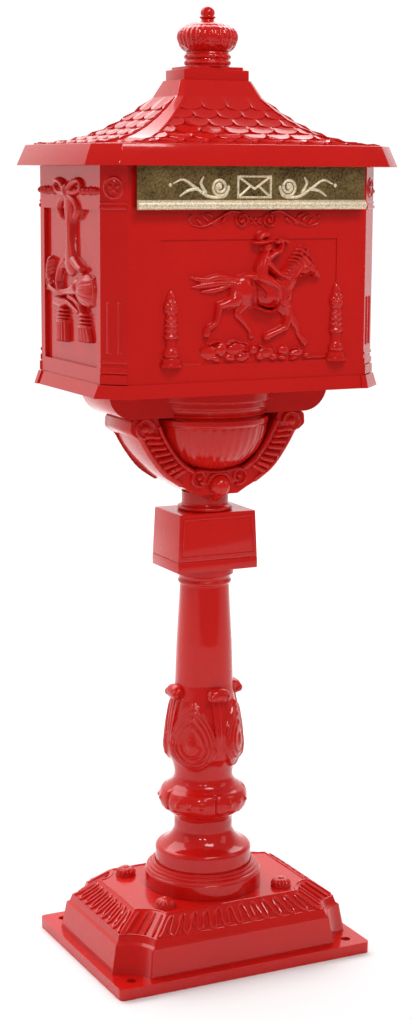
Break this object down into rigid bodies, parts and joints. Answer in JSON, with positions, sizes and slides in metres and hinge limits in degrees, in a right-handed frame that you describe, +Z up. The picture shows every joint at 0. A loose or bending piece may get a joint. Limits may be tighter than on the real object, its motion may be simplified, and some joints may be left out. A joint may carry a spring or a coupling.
{
  "type": "pedestal mailbox",
  "caption": "Cast pedestal mailbox: octagonal box with a pagoda roof, crown finial and brass letter flap, on a turned column and a stepped base, with a locking rear door.",
  "frame": {"origin": "middle of the base plate's underside, on the ground", "axes": "+Z up, the letter flap faces -Y, +X to the right when facing the flap"},
  "size_m": [0.404, 0.268, 1.16],
  "materials": {
    "red_powder_coat": "gloss red powder coat on cast aluminium",
    "antique_brass": "antiqued brass, dark in the hollows and polished on the lip",
    "zinc_steel": "zinc plated",
    "lock_chrome": "polished"
  },
  "bodies": {
    "root": {"base_casting": "red_powder_coat", "base_collar": "red_powder_coat", "bracket_foot_screws": "zinc_steel", "bracket_screws": "zinc_steel", "capital_block": "red_powder_coat", "column_casting": "red_powder_coat", "corner_brackets": "zinc_steel", "cradle_bowl": "red_powder_coat", "cradle_saddle": "red_powder_coat", "cradle_yoke": "red_powder_coat", "finial_bolt": "zinc_steel", "finial_crown": "red_powder_coat", "finial_plinth": "red_powder_coat", "flap_ears": "red_powder_coat", "flap_rod": "zinc_steel", "floor_tray": "red_powder_coat", "front_panel": "red_powder_coat", "hinge_lugs": "red_powder_coat", "hinge_pins": "zinc_steel", "left_panel": "red_powder_coat", "pilaster_front_left": "red_powder_coat", "pilaster_front_right": "red_powder_coat", "pilaster_rear_left": "red_powder_coat", "pilaster_rear_right": "red_powder_coat", "rear_panel": "red_powder_coat", "right_panel": "red_powder_coat", "roof_screws": "zinc_steel", "roof_shell": "red_powder_coat", "rosette_caps": "red_powder_coat", "saddle_bolts": "zinc_steel", "tie_rod": "zinc_steel", "tie_rod_lower_nut": "zinc_steel", "tie_rod_lower_washer": "zinc_steel", "tie_rod_upper_nut": "zinc_steel", "tie_rod_upper_washer": "zinc_steel", "tray_bolts": "zinc_steel"},
    "flap": {"mail_flap": "antique_brass"},
    "door": {"retrieval_door": "red_powder_coat", "lock_body": "lock_chrome", "lock_nut": "zinc_steel"},
    "lock": {"lock_barrel": "lock_chrome", "lock_cam": "zinc_steel", "cam_screw": "zinc_steel"}
  },
  "joints": [
    {"name": "flap_hinge", "type": "hinge", "parent": "root", "child": "flap", "pos_m": [0, -0.1178, 0.9785], "axis": [-1, 0, 0], "range_deg": [0, 42]},
    {"name": "door_hinge", "type": "hinge", "parent": "root", "child": "door", "pos_m": [0.119, 0.1195, 0.839], "axis": [0, 0, -1], "range_deg": [0, 110]},
    {"name": "lock_turn", "type": "hinge", "parent": "door", "child": "lock", "pos_m": [-0.082, 0.108, 0.839], "axis": [0, 1, 0], "range_deg": [0, 90]}
  ]
}
